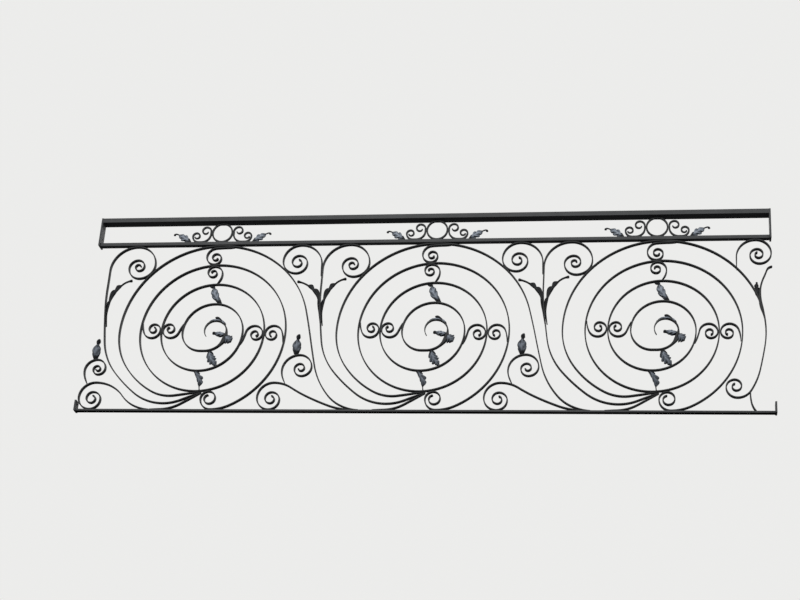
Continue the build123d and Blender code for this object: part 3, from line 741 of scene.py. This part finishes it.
# The pair of leaves that parts from each stem, toothed on the side of the stem
stemLeafLook = dict(leafLook, width=rings(0.34), root=5.0, tip=9.0, lobes=4.0, share=0.8, peak=2.4,
                    notch=0.12, shift=0.0, lean=0.2, crown=3.0, throw=0.0, sheet=5.0, knob=0.6, rows=140)
stemLeafRoot = rings(0.3)
leftStemLeaf = leafAlong((-stemOffset + rings(0.12), stemLeafRoot, 99),
                         [(-stemOffset - rings(0.02), rings(1.1), 101),
                          (-stemOffset - rings(0.21), rings(1.913), 124),
                          (-stemOffset - rings(1.155), rings(2.553), 172)],
                         [], stemLeafLook, left=0.4, right=1.2)
rightStemLeaf = leafAlong((-stemOffset + rings(0.21), stemLeafRoot, 99),
                          [(-stemOffset + rings(0.13), rings(1.1), 88),
                           (-stemOffset + rings(0.34), rings(1.99), 62),
                           (-stemOffset + rings(1.155), rings(2.67), 4)],
                          [], stemLeafLook, left=1.2, right=0.4)
makePiece("stemLeaves", inBays([forgedLeaf(rightStemLeaf)]) + inBays([forgedLeaf(leftStemLeaf)], (1, 2)),
          "stem_leaves")
endLeaf = leafAlong((archRadius - rings(0.27), rings(1.5), 96),
                    [(archRadius - rings(0.34), rings(2.33), 90)],
                    [], stemLeafLook, width=rings(0.3), root=8.0, tip=6.0, share=0.92, peak=1.1,
                    lobes=3.0, notch=0.3, left=1.2, right=0.7)
makePiece("endLeaf", inBays([forgedLeaf(endLeaf)], (2,)), "end_leaf")
print("leaves made")

# The frieze between the two upper rails. Its scroll is drawn in radii of its ring, and the
# shift of the last ornament and the scroll's tip, lead and tail are in millimetres.
frieze = {
    "offset": -0.173, "lastShift": rings(-0.17), "ringSections": 72,
    "nearX": 1.885, "nearBend": 0.808, "nearFlat": 0.269, "nearCurl": 0.442, "nearStep": 0.16,
    "farFlat": 0.308, "farBend": 0.577, "farCurl": 0.346, "farStep": 0.14, "quarters": 4,
    "tip": 5.4, "lead": 30.0, "tail": 40.0,
}
friezeBar = board["friezeBar"]
ringRadius = (underZ - floorZ) / 2
friezeMiddle = floorZ + ringRadius - centreZ
friezeLow = floorZ + friezeBar / 2 - centreZ
ringOffset = frieze["offset"] * ringRadius


def ringSkin():
    # a round ring: its bar's section turned once about the middle, and joined to itself
    angles = np.linspace(0, 2 * np.pi, frieze["ringSections"], endpoint=False)
    sides, circle, near = roundedSection()
    corner = board["round"]
    reach = ringRadius - friezeBar / 2 + sides[:, 0] * (friezeBar / 2 - corner) + circle[:, 0] * corner
    out = sides[:, 1] * (board["friezeDeep"] / 2 - corner) + circle[:, 1] * corner
    points = np.stack([
        ringOffset + np.cos(angles)[:, None] * reach[None, :],
        -np.repeat(out[None, :], len(angles), 0),
        friezeMiddle + np.sin(angles)[:, None] * reach[None, :],
    ], -1)
    n, m = points.shape[:2]
    i, j = np.meshgrid(np.arange(n), np.arange(m), indexing="ij")
    nextRow, nextPoint = (i + 1) % n, (j + 1) % m
    quads = np.stack([i * m + j, nextRow * m + j, nextRow * m + nextPoint, i * m + nextPoint], -1)
    quads = quads.reshape(-1, 4)
    return points.reshape(-1, 3), quads, np.zeros((0, 3), int), np.tile(near, n)


def inFrieze(skins):
    # the last ornament stands a little nearer to its stem than the others
    shifts = (0.0, 0.0, frieze["lastShift"])
    return [moved(skin, x + shift, centreZ) for x, shift in zip(bays, shifts) for skin in skins]


makePiece("friezeRings", inFrieze([ringSkin()]), "frieze_rings")
nearStart = (frieze["nearX"] * ringRadius, friezeLow, 180.0)
nearSteps = bend(frieze["nearBend"] * ringRadius, -90) + straight(frieze["nearFlat"] * ringRadius)
nearSteps = nearSteps + wind(frieze["nearCurl"] * ringRadius, frieze["nearStep"], frieze["quarters"], -1)
farSteps = straight(frieze["farFlat"] * ringRadius) + bend(frieze["farBend"] * ringRadius, 90)
farSteps = farSteps + wind(frieze["farCurl"] * ringRadius, frieze["farStep"], frieze["quarters"], 1)
scrollStart, nearBack = reverse(nearStart, nearSteps)
scrollSkin = forgedBar((scrollStart, nearBack + farSteps), friezeBar, board["friezeDeep"],
                       frieze["tip"], frieze["tip"], frieze["lead"], frieze["tail"],
                       blob=forge["blob"], gap=4.0, shallow=0.3)
scrollSkin = moved(scrollSkin, ringOffset, 0.0)
makePiece("friezeCurls", inFrieze([scrollSkin, mirrored(scrollSkin, ringOffset)]), "frieze_scrolls")
friezeLeafLook = dict(leafLook, width=0.75 * ringRadius, root=8.0, tip=6.5, share=0.72, crown=5.0, throw=1.0)
friezeLeaf = forgedLeaf(leafAlong((2.885 * ringRadius, friezeLow, 20),
                                  [(3.7 * ringRadius, friezeLow + 0.5 * ringRadius, 30),
                                   (4.34 * ringRadius, friezeLow + 0.86 * ringRadius, 18)],
                                  [(0.15 * ringRadius, -120)], friezeLeafLook))
friezeLeaf = moved(friezeLeaf, ringOffset, 0.0)
friezeLeafPair = [friezeLeaf, mirrored(friezeLeaf, ringOffset)]
makePiece("friezeLeaves", inFrieze(friezeLeafPair), "frieze_leaves")
print("frieze made")


# Materials
class Value:
    # one output of a node: arithmetic on it adds Math nodes
    def __init__(self, sheet, socket):
        self.sheet, self.socket = sheet, socket

    def math(self, operation, first, second=0.0):
        return self.sheet.node("ShaderNodeMath", {"operation": operation}, {0: first, 1: second}).pick(0)

    def __add__(self, other):
        return self.math("ADD", self, other)

    def __radd__(self, other):
        return self.math("ADD", other, self)

    def __sub__(self, other):
        return self.math("SUBTRACT", self, other)

    def __rsub__(self, other):
        return self.math("SUBTRACT", other, self)

    def __mul__(self, other):
        return self.math("MULTIPLY", self, other)

    def __rmul__(self, other):
        return self.math("MULTIPLY", other, self)

    def clamp(self):
        return self.math("MINIMUM", self.math("MAXIMUM", self, 0.0), 1.0)

    def above(self, low, high):
        # 0 at low and 1 at high, straight between them
        return ((self - low) * (1 / (high - low))).clamp()


class Node:
    def __init__(self, sheet, node):
        self.sheet, self.made = sheet, node

    def pick(self, output):
        return Value(self.sheet, self.made.outputs[output])


class ShaderBoard:
    # a material's node tree
    def __init__(self, name):
        self.material = bpy.data.materials.new(name)
        self.material.use_nodes = True
        self.tree = self.material.node_tree
        self.shader = self.tree.nodes["Principled BSDF"]

    def node(self, kind, settings=None, sockets=None):
        made = self.tree.nodes.new(kind)
        for key, value in (settings or {}).items():
            setattr(made, key, value)
        for key, value in (sockets or {}).items():
            self.set(made.inputs[key], value)
        return Node(self, made)

    def set(self, socket, value):
        if isinstance(value, Value):
            self.tree.links.new(value.socket, socket)
        else:
            socket.default_value = value

    def noise(self, scale, detail=3.0, rough=0.5):
        place = self.node("ShaderNodeTexCoord").pick("Object")
        return self.node("ShaderNodeTexNoise", {"noise_dimensions": "3D"},
                         {"Vector": place, "Scale": scale, "Detail": detail, "Roughness": rough}).pick(0)

    def cells(self, scale):
        place = self.node("ShaderNodeTexCoord").pick("Object")
        return self.node("ShaderNodeTexVoronoi", {"feature": "SMOOTH_F1"},
                         {"Vector": place, "Scale": scale, "Smoothness": 0.8}).pick("Distance")

    def mix(self, factor, first, second):
        return self.node("ShaderNodeMix", {"data_type": "RGBA"}, {0: factor, 6: first, 7: second}).pick(2)

    def wear(self):
        # the attribute that every skin carries: worn corners on the bars; on the leaves, rubbing on the ribs
        # and painted shade at the root and tip
        return self.node("ShaderNodeAttribute", {"attribute_name": "wear"}).pick("Fac")

    def upward(self):
        # 1 where the surface faces up and -1 where it faces down
        facing = self.node("ShaderNodeNewGeometry").pick("Normal")
        return self.node("ShaderNodeSeparateXYZ", {}, {0: facing}).pick(2)

    def bump(self, height, strength, distance=0.0012):
        sockets = {"Strength": strength, "Distance": distance, "Height": height}
        return self.node("ShaderNodeBump", {}, sockets).pick("Normal")

    def finish(self, sockets):
        for key, value in sockets.items():
            self.set(self.shader.inputs[key], value)
        return self.material


def rgba(colour):
    return (*colour, 1.0)


def ironPaint(name, look):
    # charcoal paint over hammered bar: it clouds softly and goes chalky, wears thin on the
    # corners, keeps a little dust where it faces up, and takes painted shade, nearly black, where it faces
    # down
    sheet = ShaderBoard(name)
    cloud = sheet.noise(look["cloudScale"], 4.0, 0.6)
    grain = sheet.noise(look["grainScale"], 2.0, 0.6)
    dents = sheet.cells(look["dentScale"])
    edge = sheet.wear()
    worn = (edge.above(*look["corners"]) * cloud.above(*look["patches"]) * look["wear"]).clamp()
    upward = sheet.upward()
    dust = (upward.above(*look["facingUp"]) * (0.35 + cloud * 0.6) * look["dust"]).clamp()
    # painted shade: faces that look down go nearly black and rougher
    paintedUnderShade = ((0.0 - upward).above(*look["facingDown"]) * (0.9 + cloud * 0.2)).clamp()
    colour = sheet.mix(cloud.above(*look["clouds"]), rgba(look["dark"]), rgba(look["light"]))
    colour = sheet.mix(worn, colour, rgba(look["metal"]))
    colour = sheet.mix(dust, colour, rgba(look["dustTone"]))
    colour = sheet.mix(paintedUnderShade, colour, rgba(look["paintedUnderShadeTone"]))
    colour = sheet.mix(edge.above(1.0, 2.0), colour, rgba(look["bareTone"]))
    rough = (look["rough"] + cloud * 0.16 + grain * 0.08 + dust * 0.2 + paintedUnderShade * 0.5).clamp()
    height = dents * 0.7 + grain * 0.25 + cloud * 0.3
    return sheet.finish({
        "Base Color": colour, "Roughness": rough, "Metallic": 0.0, "IOR": 1.5,
        "Specular IOR Level": look["gloss"], "Normal": sheet.bump(height, look["bump"]),
    })


def leafPaint(name, look):
    # blue-grey paint rubbed to pewter on the ribs, taken nearly black by painted shade at the root, the tip
    # and the downward faces, and darker at the very edges
    sheet = ShaderBoard(name)
    cloud = sheet.noise(look["cloudScale"], 4.0, 0.62)
    streak = sheet.noise(look["streakScale"], 3.0, 0.55)
    relief = sheet.wear()
    # painted shade where the leaf faces down
    paintedUnderShade = (0.0 - sheet.upward()).above(*look["facingDown"])
    lit = (relief + (cloud - 0.5) * 0.6 + (streak - 0.5) * 0.3 - paintedUnderShade * 0.6).clamp()
    colour = sheet.mix(lit.above(*look["darkAndPaintedShadeRange"]), rgba(look["darkAndPaintedShadeTone"]), rgba(look["body"]))
    colour = sheet.mix(lit.above(*look["rubbing"]), colour, rgba(look["rubbed"]))
    rough = (look["rough"] + streak * 0.12 + cloud * 0.1 - lit * 0.1).clamp()
    metallic = (lit.above(*look["shine"]) * look["metallic"]).clamp()
    height = streak * 0.5 + cloud * 0.6
    return sheet.finish({
        "Base Color": colour, "Roughness": rough, "Metallic": metallic, "IOR": 1.5,
        "Specular IOR Level": look["gloss"], "Normal": sheet.bump(height, look["bump"]),
    })


# the near-black tone for downward faces is painted shade
barLook = {
    "dark": (0.02, 0.021, 0.022), "light": (0.043, 0.045, 0.046), "metal": (0.1, 0.104, 0.108),
    "wear": 0.35, "dustTone": (0.12, 0.12, 0.115), "dust": 0.3, "paintedUnderShadeTone": (0.004, 0.004, 0.005),
    "bareTone": (0.11, 0.118, 0.115), "rough": 0.45, "gloss": 0.25, "bump": 0.5,
    "cloudScale": 22.0, "grainScale": 900.0, "dentScale": 95.0, "clouds": (0.3, 0.72),
    "corners": (0.72, 1.0), "patches": (0.4, 0.7), "facingUp": (0.35, 1.0), "facingDown": (0.15, 0.75),
}
# the rails' paint is a lighter copy of the bars': painted sheen for the light that their broad flat faces
# catch
railSheenLook = dict(barLook, dark=(0.055, 0.057, 0.058), light=(0.085, 0.087, 0.089),
                metal=(0.14, 0.145, 0.15), cloudScale=9.0, bump=0.3)
# the darkest leaf tone is painted shade at the roots, the tips and the downward faces
leafPaintLook = {
    "darkAndPaintedShadeTone": (0.008, 0.009, 0.011), "body": (0.22, 0.248, 0.29), "rubbed": (0.42, 0.46, 0.52),
    "rough": 0.42, "metallic": 0.3, "gloss": 0.16, "bump": 0.7, "cloudScale": 75.0, "streakScale": 420.0,
    "darkAndPaintedShadeRange": (0.05, 0.5), "rubbing": (0.5, 1.0), "shine": (0.5, 1.0), "facingDown": (0.45, 0.95),
}
pewterLook = dict(leafPaintLook, body=(0.24, 0.27, 0.315), rubbed=(0.46, 0.5, 0.56))
soberLook = dict(leafPaintLook, darkAndPaintedShadeTone=(0.005, 0.0055, 0.006), body=(0.011, 0.012, 0.014),
                 rubbed=(0.04, 0.044, 0.05), metallic=0.0)
barIron = ironPaint("charcoalBarPaint", barLook)
railSheenIron = ironPaint("charcoalRailPaintedSheen", railSheenLook)
leafIron = leafPaint("blueGreyLeafPaint", leafPaintLook)
brightLeaf = leafPaint("pewterLeafPaint", pewterLook)
darkLeaf = leafPaint("darkLeafPaint", soberLook)

finishes = {
    "spiralLeaves": leafIron, "budLeaves": leafIron, "friezeLeaves": brightLeaf,
    "stemLeaves": darkLeaf, "endLeaf": darkLeaf, "friezeRail": railSheenIron, "bottomRail": railSheenIron,
}
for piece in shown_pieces():
    # the handrail and the plates keep their node's mesh and get the rails' lighter paint, whose painted
    # sheen stands for the light on their broad faces
    finish = finishes.get(piece.name, railSheenIron if piece.name in frame["nodes"] else barIron)
    piece.data.materials.clear()
    piece.data.materials.append(finish)
print("finishes applied")

# Floor, backdrop and light. The railing is seen from below its foot, so the floor is open
# from underneath: it shows and takes shadow from above only.
studio = {
    "floorZ": -0.9375, "floorSize": 60.0, "floorTone": (0.72, 0.72, 0.71), "floorDeep": (0.12, 0.12, 0.12),
    "backTone": (0.84, 0.84, 0.83), "ambientTone": (0.96, 0.98, 1.0), "ambient": 0.6,
    "lamps": {              # place, target, size and power
        "key": ((0.6, -4.6, 2.4), (1.6, 0.0, -0.4), 4.0, 115.0),
        "fill": ((5.4, -3.4, 1.4), (1.6, 0.0, -0.4), 3.0, 30.0),
        "rim": ((1.6, 3.5, 2.6), (1.6, 0.0, -0.3), 3.0, 20.0),
    },
}
floorMesh = bpy.data.meshes.new("floor")
h, floorZ = studio["floorSize"] / 2, studio["floorZ"]
floorCorners = [(-h, -h, floorZ), (h, -h, floorZ), (h, h, floorZ), (-h, h, floorZ)]
floorMesh.from_pydata(floorCorners, [], [(0, 1, 2, 3)])
floor = bpy.data.objects.new("floor", floorMesh)
bpy.context.scene.collection.objects.link(floor)
floorSheet = ShaderBoard("paleFloor")
rays = floorSheet.node("ShaderNodeLightPath")
seen = (rays.pick("Is Camera Ray") + rays.pick("Is Glossy Ray") + rays.pick("Is Transmission Ray")).clamp()
floorColour = floorSheet.mix(seen, rgba(studio["floorDeep"]), rgba(studio["floorTone"]))
floorSheet.finish({"Base Color": floorColour, "Roughness": 0.85, "Specular IOR Level": 0.1})
back = floorSheet.node("ShaderNodeNewGeometry").pick("Backfacing")
clear = floorSheet.node("ShaderNodeBsdfTransparent")
both = floorSheet.node("ShaderNodeMixShader", {}, {0: back})
output = floorSheet.tree.nodes["Material Output"]
floorSheet.tree.links.new(floorSheet.shader.outputs[0], both.made.inputs[1])
floorSheet.tree.links.new(clear.made.outputs[0], both.made.inputs[2])
floorSheet.tree.links.new(both.made.outputs[0], output.inputs["Surface"])
floorMesh.materials.append(floorSheet.material)

world = bpy.data.worlds.new("studio")
bpy.context.scene.world = world
world.use_nodes = True
tree = world.node_tree
ground = tree.nodes["Background"]
ground.inputs["Color"].default_value = rgba(studio["ambientTone"])
ground.inputs["Strength"].default_value = studio["ambient"]
pale = tree.nodes.new("ShaderNodeBackground")
pale.inputs["Color"].default_value = rgba(studio["backTone"])
pale.inputs["Strength"].default_value = 1.0
worldRays = tree.nodes.new("ShaderNodeLightPath")
either = tree.nodes.new("ShaderNodeMath")
either.operation = "MAXIMUM"
tree.links.new(worldRays.outputs["Is Camera Ray"], either.inputs[0])
tree.links.new(worldRays.outputs["Is Transmission Ray"], either.inputs[1])
anyRay = tree.nodes.new("ShaderNodeMath")
anyRay.operation = "MAXIMUM"
tree.links.new(either.outputs[0], anyRay.inputs[0])
tree.links.new(worldRays.outputs["Is Glossy Ray"], anyRay.inputs[1])
blend = tree.nodes.new("ShaderNodeMixShader")
tree.links.new(anyRay.outputs[0], blend.inputs[0])
tree.links.new(ground.outputs[0], blend.inputs[1])
tree.links.new(pale.outputs[0], blend.inputs[2])
tree.links.new(blend.outputs[0], tree.nodes["World Output"].inputs["Surface"])


def softbox(name, place, target, size, power):
    # a round lamp that looks from its place to the target
    lamp = bpy.data.lights.new(name, "AREA")
    lamp.shape = "DISK"
    lamp.size = size
    lamp.energy = power
    made = bpy.data.objects.new(name, lamp)
    made.location = place
    aim = np.array(target) - np.array(place)
    made.rotation_euler = (atan2(hypot(aim[0], aim[1]), -aim[2]), 0.0, atan2(-aim[0], aim[1]))
    bpy.context.scene.collection.objects.link(made)


for name, lamp in studio["lamps"].items():
    softbox(name, *lamp)
bpy.context.scene.view_settings.view_transform = "Standard"
print("studio lit")
